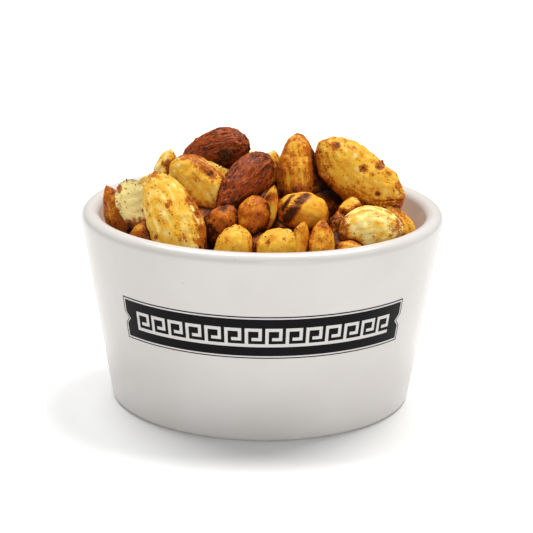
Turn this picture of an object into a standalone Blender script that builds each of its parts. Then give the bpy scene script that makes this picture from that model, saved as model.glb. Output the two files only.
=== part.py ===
"""A glazed stoneware ramekin heaped with spiced nuts, as two solids: the ramekin, and the whole
heap of nuts as one body over a core that fills the ramekin."""

import math
import random
from typing import NamedTuple

import bmesh
import bpy
from mathutils import Matrix, Vector

MM = 0.001
WELD = 0.001 * MM

# Ramekin, driving dimensions
RIM_RADIUS = 47.5 * MM
HEIGHT = 51.0 * MM
FOOT_RADIUS = 39.7 * MM
WALL = 4.8 * MM
FLOOR = 6.0 * MM
HEEL_ROUND = 1.6 * MM
FLOOR_ROUND = 7.0 * MM
FOOT_RING = 5.0 * MM
FOOT_RECESS = 1.0 * MM
SIDES = 64
LIP_STEPS = 8
HEEL_STEPS = 2
FLOOR_STEPS = 3

# Heap, driving dimensions
CLEARANCE = 0.35 * MM
CORE_EDGE_HEIGHT = 38.5 * MM
CORE_DOME = 12.5 * MM
CORE_FULLNESS = 2.4
CORE_FRONT_FALL = 16.0 * MM
CORE_SIDES = 32
CORE_RINGS = 6
EDGE_FALL = 6  # how late the dome falls to its edge at the front
WAIST_REACH = 0.4  # share of half a nut's length over which its waist fades
PLACED_FACETS = (12, 8)
LAYER_FACETS = (8, 6)
AT_POLE = 1e-6
WALL_TRIES = 3

# The layer of nuts under those that are placed one by one
LAYER_SEED = 11
LAYER_COUNT = 31
LAYER_REACH = 36.5 * MM
LAYER_LIFT = 2.4 * MM
GOLDEN_ANGLE = math.pi * (3 - math.sqrt(5))

# The camera's direction in which the nuts in front are described: a little above level
VIEW_ELEVATION = math.radians(17.3)
TOWARDS_VIEWER = Vector((0.0, -math.cos(VIEW_ELEVATION), math.sin(VIEW_ELEVATION)))

# Where the wall's sides touch the rounds of the heel and the lip
HEEL_CENTRE = Vector((FOOT_RADIUS - HEEL_ROUND, HEEL_ROUND))
LIP_RADIUS = WALL / 2
LIP_CENTRE = Vector((RIM_RADIUS - LIP_RADIUS, HEIGHT - LIP_RADIUS))
WALL_RUN = LIP_CENTRE - HEEL_CENTRE
WALL_TURN = math.atan2(WALL_RUN.y, WALL_RUN.x) - math.acos((HEEL_ROUND - LIP_RADIUS) / WALL_RUN.length)
WALL_OUT = Vector((math.cos(WALL_TURN), math.sin(WALL_TURN)))


class Form(NamedTuple):
    """How one kind of nut departs from an ellipsoid. Its tip is at the end of its +X axis."""

    tip: float  # how pointed the tip is: 0 is round, 1 is a cone
    heel: float  # how blunt the other end is: 0 is round, 1 is square
    bend: float  # degrees that its middle line turns through
    waist: float  # share of its width lost at the middle
    flat: float  # share of its depth that the +Z side loses: 0 is a whole nut, 1 a split one


ALMOND = Form(tip=0.42, heel=0.12, bend=0, waist=0, flat=0)
HALF_ALMOND = Form(tip=0.30, heel=0.15, bend=0, waist=0, flat=0.9)
CASHEW = Form(tip=0.0, heel=0.15, bend=100, waist=0.04, flat=0)
BEAN = Form(tip=0.0, heel=0.1, bend=42, waist=0.05, flat=0)
OVAL = Form(tip=0.16, heel=0.1, bend=0, waist=0, flat=0)
SLIVER = Form(tip=0.45, heel=0.2, bend=14, waist=0, flat=0.45)


class Nut(NamedTuple):
    """One nut of the heap. Lengths are in millimetres and angles in degrees. Its place is that of
    its middle, from the middle of the ramekin's foot."""

    form: Form
    place: tuple  # right, back, up
    slant: float  # where its tip points, seen from in front: 0 to the right, 90 up
    lean: float  # how far its tip comes forward
    roll: float  # turn about its length: at 0 its broad side faces forward
    size: tuple  # length, width, thickness


PLACED_NUTS = [
    Nut(OVAL, (-22.3, -26.0, 54.0), 114, -12, 8, (26.8, 14.2, 8.8)),
    Nut(BEAN, (-16.3, -9.5, 58.0), 133, -10, -10, (20.5, 13.4, 9.6)),
    Nut(HALF_ALMOND, (-11.4, -5.0, 58.2), 140, -8, 24, (19.0, 10.0, 6.4)),
    Nut(OVAL, (-25.4, -2.0, 58.8), 80, 10, 20, (15.0, 7.6, 6.6)),
    Nut(HALF_ALMOND, (-33.0, -12.4, 53.9), -76, 6, -12, (14.0, 9.2, 6.4)),
    Nut(ALMOND, (-37.4, -8.0, 50.6), 114, -4, -50, (16.0, 9.0, 7.0)),
    Nut(OVAL, (-29.4, -25.0, 49.2), 20, 0, 20, (9.5, 7.4, 7.0)),
    Nut(ALMOND, (-13.1, 6.0, 63.8), 192, -32, 4, (21.8, 11.8, 9.2)),
    Nut(ALMOND, (-4.9, -11.0, 59.8), 229, 22, -6, (21.4, 10.6, 8.6)),
    Nut(OVAL, (-10.3, -20.5, 50.8), 62, 10, 10, (12.2, 9.6, 9.0)),
    Nut(OVAL, (-2.9, -20.0, 52.2), 250, 0, 30, (13.4, 9.2, 8.0)),
    Nut(SLIVER, (1.4, -18.6, 55.0), 74, 0, -25, (12.8, 5.6, 4.6)),
    Nut(OVAL, (-6.8, -31.0, 47.9), 84, 0, 0, (12.4, 10.7, 9.6)),
    Nut(OVAL, (3.5, -31.6, 48.1), 52, 0, 0, (12.4, 10.4, 8.8)),
    Nut(SLIVER, (9.1, -31.0, 48.8), 76, -8, 28, (13.4, 7.2, 6.0)),
    Nut(ALMOND, (14.7, -30.2, 48.6), 88, -6, -8, (14.6, 7.4, 5.8)),
    Nut(OVAL, (9.3, -3.0, 59.7), 93, -6, 12, (23.2, 11.9, 9.6)),
    Nut(OVAL, (10.0, -19.0, 54.2), 168, 0, 0, (13.8, 11.0, 10.4)),
    Nut(BEAN, (24.9, -6.4, 61.0), -37, 4, 14, (27.2, 15.4, 12.0)),
    Nut(OVAL, (17.4, 2.0, 55.6), 80, 0, 0, (13.0, 8.0, 7.0)),
    Nut(CASHEW, (20.3, -17.6, 52.0), 52, 0, 0, (14.0, 7.4, 6.8)),
    Nut(OVAL, (27.3, -22.6, 50.9), 8, 0, -14, (16.6, 12.8, 10.4)),
    Nut(ALMOND, (35.0, -13.4, 49.8), 118, -8, 16, (13.6, 8.8, 6.6)),
    Nut(OVAL, (2.0, 3.6, 58.0), 85, 0, 0, (14.4, 6.4, 6.0)),
    Nut(OVAL, (21.6, -29.0, 46.8), 5, 0, 0, (9.0, 6.2, 5.6)),
    Nut(HALF_ALMOND, (-29.4, -4.4, 56.8), 38, 0, -20, (11.0, 7.0, 5.0)),
    Nut(BEAN, (-22.5, -19.5, 49.0), 20, 0, 0, (19.0, 10.0, 8.6)),
    Nut(BEAN, (-12.0, 7.0, 54.8), 172, 0, 75, (20.0, 11.0, 9.4)),
    Nut(ALMOND, (0.0, 15.0, 56.8), 10, 30, 60, (22.0, 12.0, 8.8)),
    Nut(BEAN, (19.0, 15.0, 52.4), 150, 10, 70, (20.0, 11.4, 9.2)),
    Nut(ALMOND, (-15.5, 12.5, 54.8), 120, -30, 60, (21.0, 11.4, 8.6)),
    Nut(CASHEW, (-7.5, 24.5, 54.5), 200, 0, 70, (22.0, 9.0, 8.0)),
    Nut(ALMOND, (27.0, 9.5, 52.5), 60, 0, 50, (20.0, 11.4, 8.4)),
    Nut(OVAL, (9.0, 25.0, 53.0), 40, 20, 60, (13.6, 9.6, 8.6)),
]

LAYER_KINDS = [
    (ALMOND, (22.5, 12.2, 8.8)),
    (ALMOND, (20.0, 11.0, 8.0)),
    (BEAN, (21.0, 11.6, 9.4)),
    (CASHEW, (21.0, 8.8, 8.0)),
    (HALF_ALMOND, (19.0, 11.0, 6.4)),
    (OVAL, (13.0, 8.8, 8.2)),
]


def clear_scene():
    for thing in list(bpy.data.objects):
        bpy.data.objects.remove(thing, do_unlink=True)


def finish(name, colour, roughness):
    """A plain non-metallic material."""
    material = bpy.data.materials.new(name)
    material.use_nodes = True
    shader = material.node_tree.nodes["Principled BSDF"]
    shader.inputs["Base Color"].default_value = (*colour, 1.0)
    shader.inputs["Roughness"].default_value = roughness
    shader.inputs["Metallic"].default_value = 0.0
    return material


def new_object(name, mesh_maker, material):
    """An object whose mesh is what mesh_maker leaves in a bmesh."""
    form = bmesh.new()
    mesh_maker(form)
    mesh = bpy.data.meshes.new(name)
    form.to_mesh(mesh)
    form.free()
    mesh.materials.append(material)
    thing = bpy.data.objects.new(name, mesh)
    bpy.context.scene.collection.objects.link(thing)
    return thing


def arc(centre, radius, start, stop, steps):
    """Points from one angle to another round a centre, both ends included."""
    angles = [start + (stop - start) * step / steps for step in range(steps + 1)]
    return [centre + radius * Vector((math.cos(angle), math.sin(angle))) for angle in angles]


def floor_round(gap):
    """The round between the inner wall and the floor, at a gap from both, from the wall down."""
    up = FLOOR + FLOOR_ROUND
    across = (WALL_OUT.dot(LIP_CENTRE) - LIP_RADIUS - FLOOR_ROUND - WALL_OUT.y * up) / WALL_OUT.x
    radius = FLOOR_ROUND - gap
    return arc(Vector((across, up)), radius, WALL_TURN, -math.pi / 2, FLOOR_STEPS)


def inner_radius(up, gap):
    """The inner wall's radius at a height, less a gap to the wall."""
    return (WALL_OUT.dot(LIP_CENTRE) - LIP_RADIUS - gap - WALL_OUT.y * up) / WALL_OUT.x


def turn_profile(form, profile, sides):
    """Spins a profile of (radius, height) points about Z into a closed shell."""
    corners = [form.verts.new((point.x, 0.0, point.y)) for point in profile]
    edges = [form.edges.new(pair) for pair in zip(corners, corners[1:])]
    bmesh.ops.spin(
        form, geom=corners + edges, cent=(0, 0, 0), axis=(0, 0, 1), angle=math.tau, steps=sides
    )
    bmesh.ops.remove_doubles(form, verts=form.verts, dist=WELD)
    bmesh.ops.recalc_face_normals(form, faces=form.faces)


def ramekin_shell(form):
    """The ramekin, from the middle of its foot round the lip to the middle of its floor."""
    ring_outside = FOOT_RADIUS - HEEL_ROUND
    ring_inside = ring_outside - FOOT_RING
    underside = [
        Vector((0.0, FOOT_RECESS)),
        Vector((ring_inside - FOOT_RECESS, FOOT_RECESS)),
        Vector((ring_inside, 0.0)),
    ]
    heel = arc(HEEL_CENTRE, HEEL_ROUND, -math.pi / 2, WALL_TURN, HEEL_STEPS)
    lip = arc(LIP_CENTRE, LIP_RADIUS, WALL_TURN, WALL_TURN + math.pi, LIP_STEPS)
    inside = floor_round(0.0) + [Vector((0.0, FLOOR))]
    turn_profile(form, underside + heel + lip + inside, SIDES)


def core_height(right, back):
    """The height of the heap's core: a dome that falls away more to the front."""
    out = min(1.0, math.hypot(right, back) / inner_radius(CORE_EDGE_HEIGHT, CLEARANCE))
    dome = CORE_DOME * (1 - out**CORE_FULLNESS)
    front_fall = CORE_FRONT_FALL * (max(0.0, -back) / RIM_RADIUS) ** 2
    return CORE_EDGE_HEIGHT + dome - front_fall * (1 - out**EDGE_FALL)


def core_shell(form):
    """What fills the ramekin under the nuts that show."""
    edge = inner_radius(CORE_EDGE_HEIGHT, CLEARANCE)
    below = floor_round(CLEARANCE)[::-1]
    top = [Vector((edge * (1 - ring / CORE_RINGS), CORE_EDGE_HEIGHT)) for ring in range(CORE_RINGS + 1)]
    turn_profile(form, [Vector((0.0, FLOOR + CLEARANCE)), *below, *top], CORE_SIDES)
    for corner in form.verts:
        if corner.co.z > CORE_EDGE_HEIGHT - WELD:
            corner.co.z = core_height(corner.co.x, corner.co.y)


def outline(form, along):
    """How full a nut is at a place along it from -1 to 1, its fullest being 1."""
    front = 0.5 + 0.5 * form.tip
    rear = 0.5 - 0.25 * form.heel
    fullest = (rear - front) / (rear + front)
    most = (1 - fullest) ** front * (1 + fullest) ** rear
    waist = form.waist * math.exp(-((along / WAIST_REACH) ** 2))
    return max(0.0, 1 - along) ** front * max(0.0, 1 + along) ** rear / most * (1 - waist)


def nut_point(form, size, along, side, depth):
    """Where a point of a unit ball goes on a nut that lies flat with its tip towards +X."""
    length, width, thickness = size
    round_out = math.hypot(side, depth)
    full = outline(form, along) / round_out if round_out > AT_POLE else 0.0
    across = side * full * width / 2
    up = depth * full * thickness / 2
    if up > 0:
        up *= 1 - form.flat
    if not form.bend:
        return Vector((along * length / 2, across, up))
    half_bend = math.radians(form.bend) / 2
    radius = length / 2 / half_bend
    angle = along * half_bend
    middle = radius * (1 - math.cos(half_bend / 2))
    return Vector((
        (radius - across) * math.sin(angle),
        radius - middle - (radius - across) * math.cos(angle),
        up,
    ))


def laid(nut, forward):
    """The turn of a nut whose angles are seen with this direction coming forward."""
    right = Vector((0, 0, 1)).cross(forward).normalized()
    upward = forward.cross(right)
    slant, lean = math.radians(nut.slant), math.radians(nut.lean)
    across = math.cos(slant) * right + math.sin(slant) * upward
    tip = math.cos(lean) * across + math.sin(lean) * forward
    face = (forward - tip * forward.dot(tip)).normalized()
    turn = Matrix((tip, face.cross(tip), face)).transposed()
    return turn @ Matrix.Rotation(math.radians(nut.roll), 3, "X")


def kept_inside(points):
    """The points of a nut, moved towards the middle until all of them are clear of the wall."""
    for _ in range(WALL_TRIES):
        past = [
            (math.hypot(point.x, point.y) - inner_radius(point.z, CLEARANCE), point) for point in points
        ]
        most, furthest = max(past, key=lambda entry: entry[0])
        if most <= 0:
            break
        step = Vector((furthest.x, furthest.y, 0)).normalized() * most
        points = [point - step for point in points]
    return points


def nut_shell(nut, forward, facets):
    """A function that leaves one nut, in its place, in a bmesh."""

    def make(form):
        sides, rings = facets
        bmesh.ops.create_uvsphere(form, u_segments=sides, v_segments=rings, radius=1)
        turn = laid(nut, forward)
        place = Vector(nut.place)
        spots = [corner.co.copy() for corner in form.verts]
        points = [
            (place + turn @ nut_point(nut.form, nut.size, spot.z, spot.x, spot.y)) * MM for spot in spots
        ]
        for corner, point in zip(form.verts, kept_inside(points)):
            corner.co = point

    return make


def layer_nuts():
    """The nuts of the layer below, each with the direction that it faces: spread evenly by the
    golden angle over the core, broad side out, kinds and angles drawn at random."""
    draw = random.Random(LAYER_SEED)
    nuts = []
    for number in range(LAYER_COUNT):
        out = LAYER_REACH * math.sqrt((number + 0.5) / LAYER_COUNT)
        right = out * math.cos(number * GOLDEN_ANGLE)
        back = out * math.sin(number * GOLDEN_ANGLE)
        form, size = draw.choice(LAYER_KINDS)
        slant = draw.uniform(0, 360)
        lean = draw.uniform(-16, 16)
        roll = draw.uniform(-30, 30)
        scale = draw.uniform(0.9, 1.06)
        step = 1 * MM
        slope_right = (core_height(right + step, back) - core_height(right - step, back)) / (2 * step)
        slope_back = (core_height(right, back + step) - core_height(right, back - step)) / (2 * step)
        outward = Vector((-slope_right, -slope_back, 1)).normalized()
        place = Vector((right, back, core_height(right, back))) + outward * LAYER_LIFT
        size = tuple(length * scale for length in size)
        nuts.append((Nut(form, tuple(place / MM), slant, lean, roll, size), outward))
    return nuts


def keep_largest_shell(thing):
    """Removes what a union seals inside or cuts loose, so that one shell is left."""
    form = bmesh.new()
    form.from_mesh(thing.data)
    left = set(form.verts)
    shells = []
    while left:
        shell = {left.pop()}
        edge = list(shell)
        while edge:
            near = {link.other_vert(corner) for corner in edge for link in corner.link_edges} & left
            left -= near
            shell |= near
            edge = list(near)
        shells.append(shell)
    largest = max(shells, key=len)
    bmesh.ops.delete(form, geom=[corner for corner in form.verts if corner not in largest], context="VERTS")
    form.to_mesh(thing.data)
    form.free()


def make_ramekin():
    glaze = finish("white_glaze", (0.80, 0.77, 0.73), 0.18)
    ramekin = new_object("ramekin", ramekin_shell, glaze)
    ramekin.data.shade_smooth()
    ramekin.data.set_sharp_from_angle(angle=math.radians(40))


def make_nut_heap():
    """Joins the core and every nut into one solid."""
    roasted = finish("roasted_nut", (0.60, 0.33, 0.09), 0.42)
    heap = new_object("nut_heap", core_shell, roasted)
    nuts = bpy.data.collections.new("nuts")
    bpy.context.scene.collection.children.link(nuts)
    laid_nuts = [(nut, TOWARDS_VIEWER, PLACED_FACETS) for nut in PLACED_NUTS]
    laid_nuts += [(nut, outward, LAYER_FACETS) for nut, outward in layer_nuts()]
    for number, laid_nut in enumerate(laid_nuts):
        piece = new_object(f"nut_{number}", nut_shell(*laid_nut), roasted)
        bpy.context.scene.collection.objects.unlink(piece)
        nuts.objects.link(piece)
    join = heap.modifiers.new("join nuts", "BOOLEAN")
    join.operation = "UNION"
    join.operand_type = "COLLECTION"
    join.collection = nuts
    join.solver = "MANIFOLD"
    bpy.context.view_layer.objects.active = heap
    bpy.ops.object.modifier_apply(modifier=join.name)
    for piece in list(nuts.objects):
        bpy.data.objects.remove(piece, do_unlink=True)
    bpy.data.collections.remove(nuts)
    keep_largest_shell(heap)


def main():
    clear_scene()
    make_ramekin()
    make_nut_heap()


if __name__ == "__main__":
    main()
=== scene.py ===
"""A glazed ramekin heaped with roasted and spiced nuts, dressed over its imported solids."""

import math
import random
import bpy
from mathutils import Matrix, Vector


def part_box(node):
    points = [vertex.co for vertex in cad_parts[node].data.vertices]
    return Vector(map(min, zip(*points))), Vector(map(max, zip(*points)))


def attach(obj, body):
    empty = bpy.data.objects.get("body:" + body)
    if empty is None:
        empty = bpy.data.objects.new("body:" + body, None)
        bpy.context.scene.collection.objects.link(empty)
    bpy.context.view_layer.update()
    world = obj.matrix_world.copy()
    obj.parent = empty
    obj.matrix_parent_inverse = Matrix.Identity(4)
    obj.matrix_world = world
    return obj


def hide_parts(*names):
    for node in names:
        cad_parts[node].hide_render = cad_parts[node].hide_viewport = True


bl_info = {
    "name": "Ramekin of spiced nuts",
    "version": (1, 0, 0),
    "blender": (4, 5, 0),
    "location": "3D View > Sidebar > Spiced nuts",
    "description": "A glazed ramekin with a printed band, heaped with roasted and spiced nuts",
    "category": "Add Mesh",
}

from typing import NamedTuple

import bmesh
import bpy
from bpy.props import FloatProperty, FloatVectorProperty, IntProperty, PointerProperty
from mathutils import Matrix, Vector, noise
from mathutils.bvhtree import BVHTree

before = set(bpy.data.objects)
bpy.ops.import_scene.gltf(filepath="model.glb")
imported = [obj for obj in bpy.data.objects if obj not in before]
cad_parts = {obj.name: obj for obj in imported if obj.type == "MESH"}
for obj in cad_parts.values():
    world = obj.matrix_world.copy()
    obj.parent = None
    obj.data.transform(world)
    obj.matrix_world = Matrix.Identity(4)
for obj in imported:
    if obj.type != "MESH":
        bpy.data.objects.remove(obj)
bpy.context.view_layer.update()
RAMEKIN_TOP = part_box("ramekin")[1]

MM = 0.001
TINY = 0.01 * MM


# Sizes and colours

def length_property(name, description, default):
    return FloatProperty(
        name=name, description=description, default=default, unit="LENGTH", subtype="DISTANCE"
    )


def angle_property(name, description, degrees):
    return FloatProperty(
        name=name, description=description, default=math.radians(degrees), subtype="ANGLE"
    )


def power_property(name, description, default):
    return FloatProperty(name=name, description=description, default=default, unit="POWER")


def colour_property(name, description, default):
    return FloatVectorProperty(
        name=name, description=description, default=default, size=3, min=0, max=1, subtype="COLOR"
    )


class RamekinSettings(bpy.types.PropertyGroup):
    """Sizes and colours of the ramekin and its printed band"""

    rim_radius: length_property("Rim radius", "Radius of the rim, outside", RAMEKIN_TOP.x)
    height: length_property("Height", "Height from the table to the rim", RAMEKIN_TOP.z)
    foot_radius: length_property("Foot radius", "Radius of the foot, outside", 39.7 * MM)
    wall: length_property("Wall", "Thickness of the wall", 4.8 * MM)
    floor: length_property("Floor", "Thickness of the floor", 6.0 * MM)
    heel_round: length_property("Heel round", "Radius where the wall meets the foot", 1.6 * MM)
    floor_round: length_property("Floor round", "Radius inside, where the wall meets the floor", 7.0 * MM)
    foot_ring: length_property("Foot ring", "Width of the ring that it stands on", 5.0 * MM)
    foot_recess: length_property("Foot recess", "Depth of the hollow inside the ring", 1.0 * MM)
    band_low: length_property("Band bottom", "Height of the band's lower edge", 23.5 * MM)
    band_high: length_property("Band top", "Height of the band's upper edge", 34.8 * MM)
    band_left: angle_property("Band left", "Where the band starts, round from the front", -50.2)
    band_right: angle_property("Band right", "Where the band ends, round from the front", 52.0)
    glaze: colour_property("Glaze", "Colour of the glaze", (0.670, 0.645, 0.622))
    ink: colour_property("Ink", "Colour of the printed band", (0.0055, 0.005, 0.006))
    clay: colour_property("Clay", "Colour of the bare foot ring", (0.52, 0.44, 0.35))


class NutSettings(bpy.types.PropertyGroup):
    """Colours of the nuts, and how much spice lies on them"""

    cream: colour_property("Cream", "Palest flesh of a blanched nut", (0.98, 0.85, 0.34))
    straw: colour_property("Straw", "Flesh of most of the nuts", (0.86, 0.47, 0.040))
    gold: colour_property("Gold", "Flesh of a well roasted nut", (0.72, 0.25, 0.012))
    toasted: colour_property("Toasted", "Brown patches", (0.44, 0.092, 0.005))
    burnt: colour_property("Burnt", "Darkest brown", (0.042, 0.009, 0.002))
    skin: colour_property("Skin", "Skin of a whole almond", (0.34, 0.055, 0.005))
    skin_dark: colour_property("Skin folds", "The folds of that skin", (0.075, 0.014, 0.003))
    herb: colour_property("Herb", "Dried herb and char", (0.016, 0.014, 0.006))
    spice: colour_property("Spice", "Ground spice", (0.34, 0.065, 0.006))
    herb_count: IntProperty(name="Herb flakes", description="Loose flakes of dried herb", default=90)
    spice_count: IntProperty(name="Spice grains", description="Loose grains of spice", default=2000)


class StageSettings(bpy.types.PropertyGroup):
    """Light and floor"""

    right_power: power_property("Right light", "The large light high at the right", 51.0)
    left_power: power_property("Left light", "The large light high at the left", 39.0)
    front_power: power_property("Front light", "The low, soft light in front", 20.0)
    surround: FloatProperty(name="Surround", description="Brightness all round", default=0.21)
    floor_glow: FloatProperty(
        name="Floor glow", description="Lift that keeps the floor white", default=0.06
    )
    floor_colour: colour_property("Floor", "Colour of the floor", (0.92, 0.92, 0.92))


# Shader building

class Socket:
    """One output of a node. An expression on it adds the nodes that work it out."""

    def __init__(self, finish, output):
        self.finish = finish
        self.output = output

    def math(self, operation, *others):
        return self.finish.add(
            "ShaderNodeMath", {"operation": operation}, dict(enumerate((self, *others)))
        )

    def __add__(self, other):
        return self.math("ADD", other)

    __radd__ = __add__

    def __sub__(self, other):
        return self.math("SUBTRACT", other)

    def __rsub__(self, other):
        return self.finish.add("ShaderNodeMath", {"operation": "SUBTRACT"}, {0: other, 1: self})

    def __mul__(self, other):
        return self.math("MULTIPLY", other)

    __rmul__ = __mul__

    def __truediv__(self, other):
        return self.math("DIVIDE", other)

    def __rtruediv__(self, other):
        return self.finish.add("ShaderNodeMath", {"operation": "DIVIDE"}, {0: other, 1: self})

    def __gt__(self, other):
        return self.math("GREATER_THAN", other)

    def __lt__(self, other):
        return self.math("LESS_THAN", other)

    def __mod__(self, other):
        return self.math("FLOORED_MODULO", other)

    def lesser(self, other):
        return self.math("MINIMUM", other)

    def greater(self, other):
        return self.math("MAXIMUM", other)

    def between(self, low, high):
        """1 from low to high, and 0 outside."""
        return (self > low) * (self < high)

    def ramp(self, low, high, start=0.0, end=1.0):
        """Smoothly from start at low to end at high."""
        return self.finish.add(
            "ShaderNodeMapRange", {"interpolation_type": "SMOOTHSTEP"},
            {"Value": self, "From Min": low, "From Max": high, "To Min": start, "To Max": end},
        )


class Finish:
    """A material that is built up node by node."""

    def __init__(self, name, roughness, **constants):
        self.material = bpy.data.materials.new(name)
        self.material.use_nodes = True
        self.tree = self.material.node_tree
        self.shader = self.tree.nodes["Principled BSDF"]
        self.shader.inputs["Roughness"].default_value = roughness
        for socket, value in constants.items():
            self.shader.inputs[socket.replace("_", " ")].default_value = value

    def add(self, kind, settings=None, sockets=None, output=None):
        """A node of this kind, its settings made first, then its sockets given values or links."""
        node = self.tree.nodes.new(kind)
        for setting, value in (settings or {}).items():
            setattr(node, setting, value)
        for socket, value in (sockets or {}).items():
            self.give(node.inputs[socket], value)
        outputs = [out for out in node.outputs if out.enabled]
        return Socket(self, node.outputs[output] if output else outputs[0])

    def give(self, socket, value):
        if isinstance(value, Socket):
            self.tree.links.new(value.output, socket)
        elif socket.type == "RGBA" and len(value) == 3:
            socket.default_value = (*value, 1.0)
        else:
            socket.default_value = value

    def set(self, socket, value):
        self.give(self.shader.inputs[socket], value)

    def place(self):
        """Where a point is on the object, in millimetres."""
        here = self.add("ShaderNodeTexCoord", output="Object")
        return self.scaled(here, (1 / MM, 1 / MM, 1 / MM))

    def grain(self):
        """Where a point is on its own nut, in millimetres, with X along the nut."""
        return self.add("ShaderNodeAttribute", {"attribute_name": "grain"}, output="Vector")

    def reading(self, name):
        """A number that is kept at the mesh's points."""
        return self.add("ShaderNodeAttribute", {"attribute_name": name}, output="Fac")

    def scaled(self, vector, by):
        return self.add("ShaderNodeVectorMath", {"operation": "MULTIPLY"}, {0: vector, 1: by})

    def cloud(self, vector, scale, detail=2.0, rough=0.5, twist=0.0):
        """Soft noise from 0 to 1, about 0.5."""
        return self.add(
            "ShaderNodeTexNoise", {"noise_dimensions": "3D"},
            {"Vector": vector, "Scale": scale, "Detail": detail, "Roughness": rough, "Distortion": twist},
        )

    def dots(self, vector, scale):
        """How far a point is from the nearest of many scattered dots, and a shade for each dot."""
        node = self.add("ShaderNodeTexVoronoi", {}, {"Vector": vector, "Scale": scale}, "Distance")
        shade = Socket(self, node.output.node.outputs["Color"])
        return node, self.add("ShaderNodeSeparateColor", {}, {"Color": shade}, "Red")

    def blend(self, share, first, second):
        """A colour that goes from the first to the second."""
        return self.add(
            "ShaderNodeMix", {"data_type": "RGBA", "clamp_factor": True},
            {0: share, 6: first, 7: second}, 2,
        )

    def raised(self, height, distance, strength):
        """Fine relief, its height from 0 to 1 standing this far up."""
        bump = self.add(
            "ShaderNodeBump", {}, {"Strength": strength, "Distance": distance, "Height": height}
        )
        self.set("Normal", bump)


def tinted(colour, *factors):
    """A colour whose red, green and blue are each multiplied."""
    return tuple(channel * factor for channel, factor in zip(colour, factors))


# Modelling helpers

def start():
    """Leaves nothing selected, so that an operator acts on the new piece alone."""
    if bpy.context.mode != "OBJECT":
        bpy.ops.object.mode_set(mode="OBJECT")
    bpy.ops.object.select_all(action="DESELECT")


def open_for_editing(thing):
    """Puts a new piece's place into its mesh and goes into edit mode."""
    bpy.ops.object.transform_apply(location=True, rotation=False, scale=False)
    bpy.ops.object.mode_set(mode="EDIT")
    return thing


def pick(thing, kind, wanted):
    """In edit mode, selects the vertices, edges or faces that are wanted, and nothing else."""
    bpy.ops.mesh.select_mode(type=kind)
    bpy.ops.mesh.select_all(action="DESELECT")
    form = bmesh.from_edit_mesh(thing.data)
    parts = {"VERT": form.verts, "EDGE": form.edges, "FACE": form.faces}[kind]
    for part in parts:
        if wanted(part):
            part.select_set(True)
    form.select_flush_mode()
    bmesh.update_edit_mesh(thing.data)


def on_ring(radius, height):
    """A test for the edges of a ring of this radius at this height."""

    def test(edge):
        return all(
            abs(corner.co.z - height) < TINY and abs(math.hypot(corner.co.x, corner.co.y) - radius) < TINY
            for corner in edge.verts
        )

    return test


def add_object(name, data):
    thing = bpy.data.objects.new(name, data)
    bpy.context.scene.collection.objects.link(thing)
    return thing


def settle(thing, name):
    """Puts a finished piece's place into its mesh, names it and lets it ride."""
    bpy.ops.object.transform_apply(location=True, rotation=True, scale=True)
    thing.name = name
    thing.data.name = name
    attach(thing, "root")


# Ramekin

LIP_SHARE = 0.995  # keeps the two rounds of the lip from meeting in one line
RING_ROUND = 0.4 * MM
BARE_BELOW = 0.15 * MM


class Wall(NamedTuple):
    """The ramekin's wall as two slanting lines, and the slant between them and the upright."""

    slant: float
    foot: float
    thickness: float

    def outside(self, height):
        return self.foot + math.tan(self.slant) * height

    def inside(self, height):
        return self.outside(height) - self.thickness / math.cos(self.slant)


def wall_of(sizes):
    """The wall whose sides touch the round of the heel and the round of the lip."""
    lip = sizes.wall / 2
    heel = Vector((sizes.foot_radius - sizes.heel_round, sizes.heel_round))
    run = Vector((sizes.rim_radius - lip, sizes.height - lip)) - heel
    turn = math.atan2(run.y, run.x) - math.acos((sizes.heel_round - lip) / run.length)
    foot = heel.x + sizes.heel_round / math.cos(turn) + math.tan(turn) * heel.y
    return Wall(-turn, foot, sizes.wall)


def round_off(thing, radius, height, reach, segments):
    """Bevels a ring into a round that starts this far from its edge."""
    pick(thing, "EDGE", on_ring(radius, height))
    bpy.ops.mesh.bevel(offset_type="OFFSET", offset=reach, segments=segments, profile=0.5, affect="EDGES")


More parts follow.
